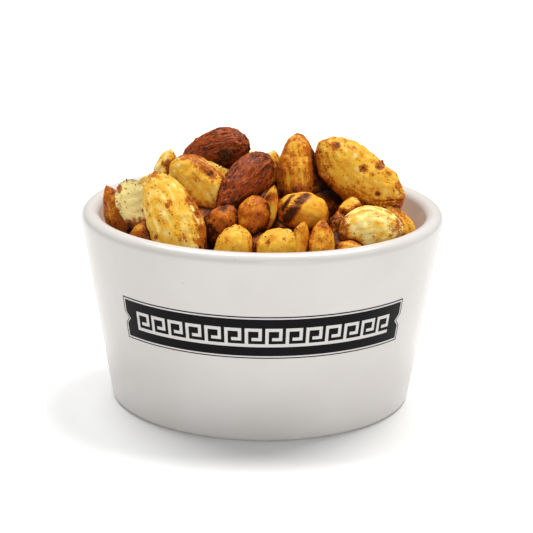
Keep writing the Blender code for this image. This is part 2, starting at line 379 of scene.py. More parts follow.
def add_ramekin(sizes):
    wall = wall_of(sizes)
    top_out, top_in = wall.outside(sizes.height), wall.inside(sizes.height)
    start()
    bpy.ops.mesh.primitive_cone_add(
        vertices=192, radius1=wall.outside(0), radius2=top_out, depth=sizes.height,
        location=(0, 0, sizes.height / 2),
    )
    bowl = open_for_editing(bpy.context.object)

    pick(bowl, "FACE", lambda face: face.normal.z > 0.9)
    bpy.ops.mesh.inset(thickness=top_out - top_in)
    bpy.ops.mesh.extrude_region_move(
        TRANSFORM_OT_translate={"value": (0, 0, sizes.floor - sizes.height)}
    )
    narrowing = wall.inside(sizes.floor) / top_in
    bpy.ops.transform.resize(value=(narrowing, narrowing, 1), center_override=(0, 0, sizes.floor))

    pick(bowl, "FACE", lambda face: face.normal.z < -0.9)
    ring_inside = sizes.foot_radius - sizes.heel_round - sizes.foot_ring
    bpy.ops.mesh.inset(thickness=wall.outside(0) - ring_inside)
    bpy.ops.mesh.extrude_region_move(TRANSFORM_OT_translate={"value": (0, 0, sizes.foot_recess)})
    narrowing = 1 - sizes.foot_recess / ring_inside
    bpy.ops.transform.resize(value=(narrowing, narrowing, 1), center_override=(0, 0, sizes.foot_recess))

    lip = sizes.wall / 2
    sharp_corner = (math.pi / 2 - wall.slant) / 2
    blunt_corner = (math.pi / 2 + wall.slant) / 2
    round_off(bowl, top_out, sizes.height, lip / math.tan(sharp_corner), 12)
    round_off(bowl, top_in, sizes.height, LIP_SHARE * lip * math.tan(sharp_corner), 12)
    round_off(bowl, wall.outside(0), 0.0, sizes.heel_round / math.tan(blunt_corner), 8)
    floor_reach = sizes.floor_round / math.tan(blunt_corner)
    round_off(bowl, wall.inside(sizes.floor), sizes.floor, floor_reach, 12)
    round_off(bowl, ring_inside, 0.0, RING_ROUND, 3)
    pick(bowl, "FACE", lambda face: True)
    bpy.ops.mesh.remove_doubles(threshold=TINY / 2)
    bpy.ops.object.mode_set(mode="OBJECT")
    bpy.ops.object.shade_smooth_by_angle(angle=math.radians(50))

    bowl.data.materials.append(glaze_finish(sizes))
    bowl.data.materials.append(clay_finish(sizes))
    for face in bowl.data.polygons:
        face.material_index = int(face.center.z < BARE_BELOW and face.normal.z < -0.9)
    settle(bowl, "glazed_ramekin")
    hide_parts("ramekin")


def glaze_finish(sizes):
    """Off-white glaze, a little uneven, with a few iron specks."""
    finish = Finish("off_white_glaze", 0.22, IOR=1.5)
    here = finish.place()
    drift = finish.cloud(here, 0.045)
    thrown = finish.cloud(finish.scaled(here, (0.03, 0.03, 0.5)), 1.0)
    pooled = finish.cloud(here, 0.12)
    distance, shade = finish.dots(here, 0.16)
    speck = (distance < 0.07) * (shade > 0.72)
    warm = tinted(sizes.glaze, 0.965, 0.955, 0.935)
    colour = finish.blend(drift.ramp(0.35, 0.65), sizes.glaze, warm)
    colour = finish.blend(speck * 0.28, colour, sizes.clay)
    finish.set("Base Color", colour)
    finish.set("Roughness", pooled * 0.08 + 0.21)
    finish.raised(thrown * 0.6 + pooled * 0.4, 0.02 * MM, 0.1)
    return finish.material


def clay_finish(sizes):
    """The bare, sandy clay of the ring that it stands on."""
    finish = Finish("bare_clay", 0.8)
    grit = finish.cloud(finish.place(), 1.6, 4.0, 0.6)
    dark = tinted(sizes.clay, 0.72, 0.72, 0.72)
    finish.set("Base Color", finish.blend(grit.ramp(0.35, 0.65), sizes.clay, dark))
    finish.raised(grit, 0.1 * MM, 0.6)
    return finish.material


# Printed band

INK_FILM = 0.05 * MM  # how far the ink stands out; the lengths below are in millimetres
LINE_INSET = 0.3
LINE_WIDTH = 0.38
KEY_UNIT = 0.84
KEY_PERIOD = 6  # in units, as the key's height is
KEY_HEIGHT = 6
KEY_MARGIN = 3.6
NOTCH_DEPTH = 1.4
NOTCH_SLOPE = 0.9


def add_band(sizes):
    """A sheet of ink laid round the front of the wall."""
    wall = wall_of(sizes)
    start()
    bpy.ops.mesh.primitive_grid_add(x_subdivisions=96, y_subdivisions=6, size=1, calc_uvs=True)
    band = bpy.context.object
    for corner in band.data.vertices:
        angle = sizes.band_left + (corner.co.x + 0.5) * (sizes.band_right - sizes.band_left)
        height = sizes.band_low + (corner.co.y + 0.5) * (sizes.band_high - sizes.band_low)
        out = wall.outside(height) + INK_FILM
        corner.co = Vector((out * math.sin(angle), -out * math.cos(angle), height))
    film = band.modifiers.new("film", "SOLIDIFY")
    film.thickness = 3 * INK_FILM
    film.offset = -1
    bpy.ops.object.modifier_apply(modifier=film.name)
    bpy.ops.object.shade_smooth_by_angle(angle=math.radians(40))
    middle = (sizes.band_low + sizes.band_high) / 2
    length = wall.outside(middle) * (sizes.band_right - sizes.band_left) / MM
    band.data.materials.append(ink_finish(sizes, length, (sizes.band_high - sizes.band_low) / MM))
    settle(band, "printed_band")


def ink_finish(sizes, length, width):
    """Black ink with notched ends, a fine pale line inside its edge and a running key."""
    finish = Finish("band_ink", 0.34, Specular_IOR_Level=0.06)
    spot = finish.add("ShaderNodeUVMap", {"uv_map": "UVMap"})
    parts = finish.add("ShaderNodeSeparateXYZ", {}, {"Vector": spot}, "X")
    along = parts * length
    up = Socket(finish, parts.output.node.outputs["Y"]) * width
    off_middle = (up - width / 2).greater(width / 2 - up)
    notch = (NOTCH_DEPTH - off_middle * NOTCH_SLOPE).greater(0.0)
    edge = (along.lesser(length - along) - notch).lesser(up).lesser(width - up)
    line = edge.between(LINE_INSET, LINE_INSET + LINE_WIDTH).greater(edge < 0.0)

    keys = math.floor((length - 2 * KEY_MARGIN) / (KEY_PERIOD * KEY_UNIT))
    run = (keys * KEY_PERIOD - 1) * KEY_UNIT
    first = (length - run) / 2
    column = ((along - first) / KEY_UNIT) % KEY_PERIOD
    row = (up - (width - KEY_HEIGHT * KEY_UNIT) / 2) / KEY_UNIT
    inside = along.between(first, first + run)
    base = row.between(0, 1)
    riser = column.between(0, 1) * row.between(0, KEY_HEIGHT)
    top = column.between(0, 5) * row.between(5, 6)
    drop = column.between(4, 5) * row.between(2, 6)
    hook = column.between(2, 5) * row.between(2, 3)
    curl = top.greater(drop).greater(hook)
    key = base.greater(riser).greater(curl) * inside

    wear = finish.cloud(finish.place(), 2.2, 3.0, 0.6)
    dark = finish.blend(wear.ramp(0.35, 0.75), sizes.ink, tinted(sizes.ink, 1.3, 1.3, 1.3))
    finish.set("Base Color", finish.blend(line.greater(key), dark, sizes.glaze))
    finish.set("Roughness", wear * 0.2 + 0.24)
    finish.raised(wear, 0.02 * MM, 0.2)
    return finish.material


# Nuts

class Form(NamedTuple):
    """How one kind of nut departs from an ellipsoid. Its tip is at the end of its +X axis."""

    tip: float  # how pointed the tip is: 0 is round, 1 is a cone
    heel: float  # how blunt the other end is: 0 is round, 1 is square
    bend: float  # degrees that its middle line turns through
    waist: float  # share of its width lost at the middle
    flat: float  # share of its depth that the +Z side loses: 0 is a whole nut, 1 a split one
    ribs: float  # millimetres that its lengthwise ribs stand up
    lumps: float  # millimetres that its surface swells and sinks


ALMOND = Form(0.42, 0.12, 0, 0, 0, 0.10, 0.30)
HALF_ALMOND = Form(0.30, 0.15, 0, 0, 0.9, 0.05, 0.25)
CASHEW = Form(0.0, 0.15, 100, 0.04, 0, 0.05, 0.35)
BEAN = Form(0.0, 0.1, 42, 0.05, 0, 0.04, 0.45)
OVAL = Form(0.16, 0.1, 0, 0, 0, 0.08, 0.30)
SLIVER = Form(0.45, 0.2, 14, 0, 0.45, 0.06, 0.20)


class Nut(NamedTuple):
    """One nut of the heap. Lengths are in millimetres and angles in degrees. Its place is that of
    its middle, from the middle of the ramekin's foot."""

    form: Form
    place: tuple  # right, back, up
    slant: float  # where its tip points, seen from in front: 0 to the right, 90 up
    lean: float  # how far its tip comes forward
    roll: float  # turn about its length: at 0 its broad side faces forward
    size: tuple  # length, width, thickness
    kind: str  # the group that it belongs to
    tone: float  # 0 is cream, 1 a deep gold
    toast: float  # how much of it is browned


PALE, SKIN, BEANS, SPLIT, SMALL = "blanched_almonds", "skin_almonds", "cashews", "split_nuts", "small_nuts"
LOWER = "lower_nuts"

PLACED_NUTS = [
    Nut(OVAL, (-22.3, -26.0, 54.0), 114, -12, 8, (26.8, 14.2, 8.8), PALE, 0.42, 0.32),
    Nut(BEAN, (-16.3, -9.5, 58.0), 133, -10, -10, (20.5, 13.4, 9.6), BEANS, 0.48, 0.40),
    Nut(HALF_ALMOND, (-11.4, -5.0, 58.2), 140, -8, 24, (19.0, 10.0, 6.4), SPLIT, 0.20, 0.25),
    Nut(OVAL, (-25.4, -2.0, 58.8), 80, 10, 20, (15.0, 7.6, 6.6), SMALL, 0.30, 0.32),
    Nut(HALF_ALMOND, (-33.0, -12.4, 53.9), -76, 6, -12, (14.0, 9.2, 6.4), SPLIT, -0.35, 0.20),
    Nut(ALMOND, (-37.4, -8.0, 50.6), 114, -4, -50, (16.0, 9.0, 7.0), PALE, 0.80, 0.72),
    Nut(OVAL, (-29.4, -25.0, 49.2), 20, 0, 20, (9.5, 7.4, 7.0), SMALL, 0.80, 0.60),
    Nut(ALMOND, (-13.1, 6.0, 63.8), 192, -32, 4, (21.8, 11.8, 9.2), SKIN, 0.50, 0.50),
    Nut(ALMOND, (-4.9, -11.0, 59.8), 229, 22, -6, (21.4, 10.6, 8.6), SKIN, 0.60, 0.40),
    Nut(OVAL, (-10.3, -20.5, 50.8), 62, 10, 10, (12.2, 9.6, 9.0), SMALL, 0.95, 0.82),
    Nut(OVAL, (-2.9, -20.0, 52.2), 250, 0, 30, (13.4, 9.2, 8.0), SMALL, 1.00, 0.62),
    Nut(SLIVER, (1.4, -18.6, 55.0), 74, 0, -25, (12.8, 5.6, 4.6), SPLIT, 0.70, 0.45),
    Nut(OVAL, (-6.8, -31.0, 47.9), 84, 0, 0, (12.4, 10.7, 9.6), SMALL, 0.55, 0.33),
    Nut(OVAL, (3.5, -31.6, 48.1), 52, 0, 0, (12.4, 10.4, 8.8), SMALL, 0.55, 0.33),
    Nut(SLIVER, (9.1, -31.0, 48.8), 76, -8, 28, (13.4, 7.2, 6.0), SPLIT, 0.75, 0.38),
    Nut(ALMOND, (14.7, -30.2, 48.6), 88, -6, -8, (14.6, 7.4, 5.8), PALE, 0.85, 0.45),
    Nut(OVAL, (9.3, -3.0, 59.7), 93, -6, 12, (23.2, 11.9, 9.6), PALE, 0.75, 0.50),
    Nut(OVAL, (10.0, -19.0, 54.2), 168, 0, 0, (13.8, 11.0, 10.4), SMALL, 0.70, 0.30),
    Nut(BEAN, (24.9, -6.4, 61.0), -37, 4, 14, (27.2, 15.4, 12.0), BEANS, 0.54, 0.42),
    # a deep tone and heavy browning for this one in shadow behind the upright one: partly its own roast,
    # partly painted shade
    Nut(OVAL, (17.4, 2.0, 55.6), 80, 0, 0, (13.0, 8.0, 7.0), SMALL, 0.90, 0.90),
    Nut(CASHEW, (20.3, -17.6, 52.0), 52, 0, 0, (14.0, 7.4, 6.8), BEANS, 0.55, 0.50),
    Nut(OVAL, (27.3, -22.6, 50.9), 8, 0, -14, (16.6, 12.8, 10.4), BEANS, 0.26, 0.34),
    Nut(ALMOND, (35.0, -13.4, 49.8), 118, -8, 16, (13.6, 8.8, 6.6), PALE, 0.60, 0.50),
    Nut(OVAL, (2.0, 3.6, 58.0), 85, 0, 0, (14.4, 6.4, 6.0), SMALL, 0.40, 0.25),
    Nut(OVAL, (21.6, -29.0, 46.8), 5, 0, 0, (9.0, 6.2, 5.6), SMALL, 0.60, 0.55),
    Nut(HALF_ALMOND, (-29.4, -4.4, 56.8), 38, 0, -20, (11.0, 7.0, 5.0), SPLIT, 0.30, 0.30),
    Nut(BEAN, (-22.5, -19.5, 49.0), 20, 0, 0, (19.0, 10.0, 8.6), BEANS, 0.70, 0.70),
    Nut(BEAN, (-12.0, 7.0, 54.8), 172, 0, 75, (20.0, 11.0, 9.4), BEANS, 0.50, 0.40),
    Nut(ALMOND, (0.0, 15.0, 56.8), 10, 30, 60, (22.0, 12.0, 8.8), PALE, 0.35, 0.35),
    Nut(BEAN, (19.0, 15.0, 52.4), 150, 10, 70, (20.0, 11.4, 9.2), BEANS, 0.30, 0.40),
    Nut(ALMOND, (-15.5, 12.5, 54.8), 120, -30, 60, (21.0, 11.4, 8.6), PALE, 0.50, 0.35),
    Nut(CASHEW, (-7.5, 24.5, 54.5), 200, 0, 70, (22.0, 9.0, 8.0), BEANS, 0.40, 0.40),
    Nut(ALMOND, (27.0, 9.5, 52.5), 60, 0, 50, (20.0, 11.4, 8.4), SKIN, 0.50, 0.40),
    Nut(OVAL, (9.0, 25.0, 53.0), 40, 20, 60, (13.6, 9.6, 8.6), SMALL, 0.50, 0.45),
]

# Places that the oven has coloured, and a few browned as painted shade: how far they reach in millimetres,
# and how brown they are
FLECK, SPOT, PATCH, SPREAD = 0.6, 1.2, 2.0, 3.2
PALER, TAN, BROWN, SCORCHED, CHARRED = -0.3, 0.25, 0.4, 0.65, 1.0
MARK_STEPS = 15


class Mark(NamedTuple):
    """A place on a nut that the oven has coloured or that is browned as painted shade, or a dent in it. It
    can run on to another place.
    """

    along: float  # quarters of the nut's half length: -4 at its heel, 4 at its tip
    turn: float  # degrees round the nut, 0 being the side that its roll faces forward
    reach: float  # millimetres from its middle to its edge
    brown: float  # how much browner its middle is, or paler if less than 0
    sink: float = 0.0  # millimetres that the surface sinks there
    to: tuple = ()  # along and turn of its far end

    def middles(self, nut):
        """Points along its middle line, on the straight nut."""
        first, last = Vector((self.along, self.turn)), Vector(self.to or (self.along, self.turn))
        steps = MARK_STEPS if self.to else 0
        spots = [first.lerp(last, step / MARK_STEPS) for step in range(steps + 1)]
        return [on_skin(nut, spot.x / 4, spot.y) for spot in spots]


# By the nut's place in the list above: the values of each Mark on it
MARKS = {
    # the long pale almond at the left: a toasted tip and a browner right side, partly browning and partly
    # painted shade
    0: [
        (4, 0, PATCH, TAN), (1, 0, SPOT, BROWN), (-1, 60, FLECK, SCORCHED), (0, 30, SPOT, TAN),
        (-2, 0, SPOT, BROWN), (1, -90, SPREAD, BROWN, 0, (-3, -60)),
    ],
    # the broad one behind it: toasted along its upper edge
    1: [
        (3, -60, PATCH, BROWN, 0, (0, -60)), (0, 30, SPOT, BROWN), (-2, 30, SPOT, BROWN),
        (2, 0, PATCH, PALER), (-1, 0, PATCH, PALER),
    ],
    3: [(2, 30, SPOT, BROWN)],
    # the cut face at the far left: a toasted rim
    4: [
        (3, -60, SPOT, BROWN, 0, (-3, -60)), (3, -30, PATCH, BROWN, 0, (3, 60)),
        (1, 30, FLECK, SCORCHED),
    ],
    5: [(-2, 0, PATCH, BROWN)],
    # the two in their skins: charred at their lower ends
    7: [(-2, 30, SPREAD, BROWN, 0, (-1, 60)), (0, 60, PATCH, BROWN, 0, (3, 60)), (4, 0, SPREAD, BROWN)],
    8: [(3, 60, PATCH, TAN)],
    9: [(1, 90, SPOT, BROWN), (3, 60, SPOT, BROWN), (-1, 30, PATCH, TAN)],
    10: [(-3, 90, SPOT, SCORCHED), (0, 90, SPREAD, TAN)],
    11: [(2, 0, SPOT, SCORCHED)],
    12: [(3, 60, FLECK, BROWN)],
    13: [(0, 30, FLECK, SCORCHED), (2, 0, FLECK, SCORCHED)],
    14: [(2, 60, SPOT, TAN)],
    15: [(1, 0, SPOT, BROWN), (3, -30, SPOT, BROWN)],
    # the upright one: a scorched tip, rusty streaks and a brown lower third that is painted shade
    16: [
        (4, 0, SPOT, BROWN), (2, 30, FLECK, TAN, 0, (0, 30)), (1, -30, FLECK, TAN, 0, (-1, -30)),
        (-2, 60, SPREAD, BROWN, 0, (-2, -60)), (-4, 30, SPREAD, BROWN, 0, (-4, -30)),
    ],
    # the charred one below it: two black streaks, brown at its left and gold at its right
    17: [
        (0, -60, SPOT, CHARRED, 0, (2, 30)), (2, -60, FLECK, CHARRED, 0, (3, 0)),
        (3, 30, SPREAD, BROWN), (-2, 0, SPREAD, PALER),
    ],
    # the big one on top: a toasted left end, scattered spots, and a groove low on its right
    18: [
        (-3, 30, SPOT, SCORCHED), (-3, -60, SPREAD, BROWN, 0, (-1, -60)), (1, -60, PATCH, TAN),
        (0, 30, SPOT, SCORCHED), (1, 60, SPOT, BROWN, 0.6, (1, 90)), (2, 60, SPOT, TAN),
        (2, 0, FLECK, SCORCHED), (1, -45, SPOT, TAN, 0, (4, 0)), (1, -45, FLECK, PALER, 0.9, (4, 0)),
        (-1, 0, SPREAD, PALER),
    ],
    20: [(1, 30, SPOT, SCORCHED, 0.5), (-1, 30, PATCH, BROWN), (3, 30, SPOT, PALER)],
    # the pale one at the right: the tan across its right end, which lies in shade, is painted shade
    21: [
        (-3, 0, SPOT, TAN, 0, (-3, 60)), (1, 30, SPOT, TAN), (3, 30, PATCH, TAN, 0, (3, -30)),
        (0, -30, FLECK, BROWN), (-1, 0, SPREAD, PALER),
    ],
    22: [(2, -30, SPOT, BROWN)],
}

# Where charred crumbs and herbs have gathered: nut, quarters along it, round it, reach and how many
CRUMB_CLUSTERS = [
    (7, -2, 30, SPREAD, 70), (7, -1, 60, PATCH, 20), (7, 3, 0, PATCH, 20), (8, 3, 30, PATCH, 12),
    (17, 1, -30, SPOT, 16), (17, 2, 0, SPOT, 16), (17, 3, 30, PATCH, 8), (18, 1, 60, SPOT, 8),
    (20, 0, 30, SPOT, 8), (16, -1, 30, PATCH, 6),
]

VIEW_ELEVATION = math.radians(17.3)
TOWARDS_VIEWER = Vector((0.0, -math.cos(VIEW_ELEVATION), math.sin(VIEW_ELEVATION)))

LAYER_KINDS = [
    (ALMOND, (22.5, 12.2, 8.8), SKIN),
    (ALMOND, (20.0, 11.0, 8.0), PALE),
    (BEAN, (21.0, 11.6, 9.4), BEANS),
    (CASHEW, (21.0, 8.8, 8.0), BEANS),
    (HALF_ALMOND, (19.0, 11.0, 6.4), SPLIT),
    (OVAL, (13.0, 8.8, 8.2), SMALL),
]
LAYER_SEED = 11
LAYER_FIRST = 101  # the first number of the nuts that aren't placed one by one
LAYER_COUNT = 31
LAYER_REACH = 36.5
LAYER_LIFT = 2.4
LAYER_LEAN, LAYER_ROLL = 16, 30
LAYER_SCALES = (0.9, 1.06)
LAYER_PAINTED_SHADE_BEFORE = 4.0
LOWER_KINDS = [
    (ALMOND, (17.0, 9.6, 8.0)),
    (BEAN, (15.5, 9.0, 8.0)),
    (OVAL, (11.5, 8.6, 8.0)),
    (OVAL, (13.5, 8.0, 7.4)),
]
LOWER_SEED = 4
LOWER_COUNT = 96
LOWER_REACH = 38.5
LOWER_LIFT = 0.3
LOWER_LEAN, LOWER_ROLL = 14, 40
LOWER_SCALES = (0.85, 1.1)
GOLDEN_ANGLE = math.pi * (3 - math.sqrt(5))

# How finely the nuts are made: those in front, those behind, and those below
FINE, PLAIN, ROUGH = 1.5, 0.9, 0.6
FINE_BEFORE = 6.5
SIDES_PER_WIDTH = 4.2
RINGS_PER_LENGTH = 3.2
TINY_LENGTH = 1e-6
CREVICE_SHADE_REACH = 8 * MM
NOISE_SHIFT = Vector((17.3, 5.1, 9.7))
GRAIN_SHIFT = Vector((31.0, 11.0, 23.0))

CLEARANCE = 0.35
CORE_EDGE_HEIGHT = 38.5
CORE_FOOT_HEIGHT = 8.0
CORE_FOOT_INSET = 7
CORE_RINGS = 30
CORE_DOME = 12.5
CORE_FULLNESS = 2.4
CORE_FRONT_FALL = 16.0
CORE_LUMPS = 0.9
CORE_SINK = 0.5


def outline(form, along):
    """How full a nut is at a place along it from -1 to 1, its fullest being 1."""
    front = 0.5 + 0.5 * form.tip
    rear = 0.5 - 0.25 * form.heel
    fullest = (rear - front) / (rear + front)
    most = (1 - fullest) ** front * (1 + fullest) ** rear
    waist = form.waist * math.exp(-((along / 0.4) ** 2))
    return max(0.0, 1 - along) ** front * max(0.0, 1 + along) ** rear / most * (1 - waist)


def straight_point(form, size, spot):
    """A point of a unit ball, taken to a nut that hasn't been bent yet."""
    length, width, thickness = size
    side, depth, along = spot
    round_out = math.hypot(side, depth)
    full = outline(form, along) / round_out if round_out > TINY_LENGTH else 0.0
    up = depth * full * thickness / 2
    if up > 0:
        up *= 1 - form.flat
    return Vector((along * length / 2, side * full * width / 2, up))


def bent(form, size, point):
    """That point once the nut's middle line is bent."""
    if not form.bend:
        return point
    half_bend = math.radians(form.bend) / 2
    half = size[0] / 2
    radius = half / half_bend
    angle = point.x / half * half_bend
    middle = radius * (1 - math.cos(half_bend / 2))
    reach = radius - point.y
    return Vector((reach * math.sin(angle), radius - middle - reach * math.cos(angle), point.z))


def laid(nut, forward):
    """The turn of a nut whose angles are seen with this direction coming forward."""
    right = Vector((0, 0, 1)).cross(forward)
    right = right.normalized() if right.length > TINY_LENGTH else Vector((1, 0, 0))
    upward = forward.cross(right)
    slant, lean = math.radians(nut.slant), math.radians(nut.lean)
    across = math.cos(slant) * right + math.sin(slant) * upward
    tip = math.cos(lean) * across + math.sin(lean) * forward
    face = (forward - tip * forward.dot(tip)).normalized()
    turn = Matrix((tip, face.cross(tip), face)).transposed()
    return turn @ Matrix.Rotation(math.radians(nut.roll), 3, "X")


def core_height(right, back, wall):
    """The height of the heap's core: a dome that falls away more to the front."""
    edge = wall.inside(CORE_EDGE_HEIGHT * MM) / MM - CLEARANCE
    out = min(1.0, math.hypot(right, back) / edge)
    dome = CORE_DOME * (1 - out**CORE_FULLNESS)
    front_fall = CORE_FRONT_FALL * (max(0.0, -back) / (RAMEKIN_TOP.x / MM)) ** 2
    return CORE_EDGE_HEIGHT + dome - front_fall * (1 - out**6)


def spiral(count, reach):
    """Places spread evenly over a round, from its middle outwards."""
    for number in range(count):
        out = reach * math.sqrt((number + 0.5) / count)
        yield out * math.cos(number * GOLDEN_ANGLE), out * math.sin(number * GOLDEN_ANGLE)


def nut_angles(draw, lean, roll):
    return draw.uniform(0, 360), draw.uniform(-lean, lean), draw.uniform(-roll, roll)


def layer_nuts(wall):
    """The nuts of the layer below, each with the direction that it faces."""
    draw = random.Random(LAYER_SEED)
    nuts = []
    for number, (right, back) in enumerate(spiral(LAYER_COUNT, LAYER_REACH)):
        form, size, kind = draw.choice(LAYER_KINDS)
        angles = nut_angles(draw, LAYER_LEAN, LAYER_ROLL)
        scale = draw.uniform(*LAYER_SCALES)
        across = core_height(right + 1, back, wall) - core_height(right - 1, back, wall)
        away = core_height(right, back + 1, wall) - core_height(right, back - 1, wall)
        outward = Vector((-across / 2, -away / 2, 1)).normalized()
        place = Vector((right, back, core_height(right, back, wall))) + outward * LAYER_LIFT
        size = tuple(length * scale for length in size)
        tone, toast = 0.45 + 0.4 * (number * 0.618 % 1), 0.35 + 0.3 * (number * 0.382 % 1)
        # Painted shade: the layer's nuts towards the front lie in shadow under the top nuts, so they are
        # given the deepest tone and browning, and none keeps its skin.
        if back < LAYER_PAINTED_SHADE_BEFORE:
            kind, tone, toast = PALE if kind == SKIN else kind, 1.0, 1.05
        nuts.append((Nut(form, tuple(place), *angles, size, kind, tone, toast), outward))
    return nuts


def lower_nuts(wall):
    """Nuts half sunk in the core, which fill the gaps that are seen from above."""
    draw = random.Random(LOWER_SEED)
    nuts = []
    for back, right in spiral(LOWER_COUNT, LOWER_REACH):
        right += draw.uniform(-1, 1)
        back += draw.uniform(-1, 1)
        form, size = draw.choice(LOWER_KINDS)
        angles = nut_angles(draw, LOWER_LEAN, LOWER_ROLL)
        scale = draw.uniform(*LOWER_SCALES)
        place = (right, back, core_height(right, back, wall) + LOWER_LIFT)
        size = tuple(length * scale for length in size)
        tone, toast = draw.uniform(0.6, 1.1), draw.uniform(0.45, 0.85)
        nuts.append((Nut(form, place, *angles, size, LOWER, tone, toast), Vector((0, 0, 1))))
    return nuts


def paint_crevice_shade(names):
    """Keeps how far each point of the nuts is shut in by its neighbours, from 0 to 1, as painted shade:
    the finishes darken the nuts there in place of the shadow that falls between them."""
    tree = taken_together(names)[2]
    for name in names:
        mesh = bpy.data.objects[name].data
        shut = []
        for corner in mesh.vertices:
            out = corner.normal
            across = out.orthogonal().normalized()
            other = out.cross(across)
            ways = (out, out + across, out - across, out + other, out - other)
            hits = [tree.ray_cast(corner.co + out * 0.3 * MM, way, CREVICE_SHADE_REACH)[3] for way in ways]
            shut.append(sum(1 - hit / CREVICE_SHADE_REACH for hit in hits if hit is not None) / len(ways))
        keep(mesh, "hollow", shut)


def on_skin(nut, along, turn):
    """The point of a straight nut this far along it and round it."""
    round_it = math.radians(turn)
    return straight_point(nut.form, nut.size, (math.sin(round_it), math.cos(round_it), along))


def surface(nut, seed, point, marks):
    """How far a nut's surface stands out at a point of it, in millimetres, and its browning, which for a
    few marks is painted shade.
    """
    form = nut.form
    shift = NOISE_SHIFT * seed
    grainwise = Vector((point.x * 0.10, point.y, point.z))

    def wave(where, scale, shift=shift):
        return noise.noise(where * scale + shift)

    swell = wave(point, 0.22) * form.lumps
    dimple = wave(point, 0.6) * form.lumps * 0.7 + wave(point, 1.5) * form.lumps * 0.2
    rib = wave(grainwise, 0.85) * form.ribs * 1.6
    if nut.kind == SKIN:
        rib = 0.22 - 0.75 * (abs(wave(grainwise, 0.95)) + 0.5 * abs(wave(grainwise, 1.9)))
    patch = wave(point, 0.30, -shift) + 0.6 * wave(point, 0.85, -shift)
    ends = (abs(point.x) / (nut.size[0] / 2)) ** 4
    browning = nut.toast + 0.22 * patch + 0.25 * ends
    out = swell + dimple + rib - 0.15
    for middles, mark in marks:
        away = min((point - middle).length for middle in middles)
        # full within 0.4 of its reach, and gone at 1.6 of it
        near = min(1.0, max(0.0, 1.35 - away / mark.reach * 0.85))
        share = near * near * (3 - 2 * near)
        browning += mark.brown * share
        out -= mark.sink * share
    return out, browning


def nut_mesh(nut, forward, seed, fineness, wall):
    """One nut as its own object, with what its finish needs kept at its points."""
    sides = max(12, round(nut.size[1] * SIDES_PER_WIDTH * fineness))
    rings = max(10, round(nut.size[0] * RINGS_PER_LENGTH * fineness))
    start()
    bpy.ops.mesh.primitive_uv_sphere_add(segments=sides, ring_count=rings, radius=1)
    thing = bpy.context.object
    mesh = thing.data
    turn = laid(nut, forward)
    place = Vector(nut.place)
    spots = [straight_point(nut.form, nut.size, corner.co) for corner in mesh.vertices]
    base = [place + turn @ bent(nut.form, nut.size, spot) for spot in spots]
    mesh.vertices.foreach_set("co", [value for point in base for value in point])
    mesh.update()
    outward = [corner.normal.copy() for corner in mesh.vertices]
    marks = [(mark.middles(nut), mark) for mark in (Mark(*row) for row in MARKS.get(seed - 1, []))]
    points, browns = [], []
    for spot, point, normal in zip(spots, base, outward):
        out, brown = surface(nut, seed, spot, marks)
        points.append(point + normal * out)
        browns.append(brown)
    points = kept_inside(points, wall)
    mesh.vertices.foreach_set("co", [value * MM for point in points for value in point])
    grain = mesh.attributes.new("grain", "FLOAT_VECTOR", "POINT")
    grain.data.foreach_set("vector", [value for spot in spots for value in spot + GRAIN_SHIFT * seed])
    keep(mesh, "toast", browns)
    keep(mesh, "tone", [nut.tone] * len(spots))
    keep(mesh, "nut", [float(seed)] * len(spots))
    return thing


def keep(mesh, name, values):
    mesh.attributes.new(name, "FLOAT", "POINT").data.foreach_set("value", values)


def kept_inside(points, wall):
    """The points of a nut, moved towards the middle until all of them are clear of the wall."""
    for _ in range(3):
        past = [
            (math.hypot(point.x, point.y) - wall.inside(point.z * MM) / MM + CLEARANCE, point)
            for point in points
        ]
        most, furthest = max(past, key=lambda entry: entry[0])
        if most <= 0:
            break
        step = Vector((furthest.x, furthest.y, 0)).normalized() * most
        points = [point - step for point in points]
    return points


def add_nuts(context, kind, finish):
    """All the nuts of one kind, as one piece."""
    wall = wall_of(context.scene.ramekin_settings)
    made = []
    for number, nut in enumerate(PLACED_NUTS):
        if nut.kind == kind:
            fineness = FINE if nut.place[1] < FINE_BEFORE else PLAIN
            made.append(nut_mesh(nut, TOWARDS_VIEWER, number + 1, fineness, wall))
    for number, (nut, outward) in enumerate(layer_nuts(wall) + lower_nuts(wall)):
        if nut.kind == kind:
            made.append(nut_mesh(nut, outward, LAYER_FIRST + number, ROUGH, wall))
    start()
    for thing in made:
        thing.select_set(True)
    context.view_layer.objects.active = made[0]
    bpy.ops.object.join()
    nuts = context.object
    bpy.ops.object.shade_smooth()
    nuts.data.materials.clear()
    nuts.data.materials.append(finish)
    settle(nuts, kind)
    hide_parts("nut_heap")


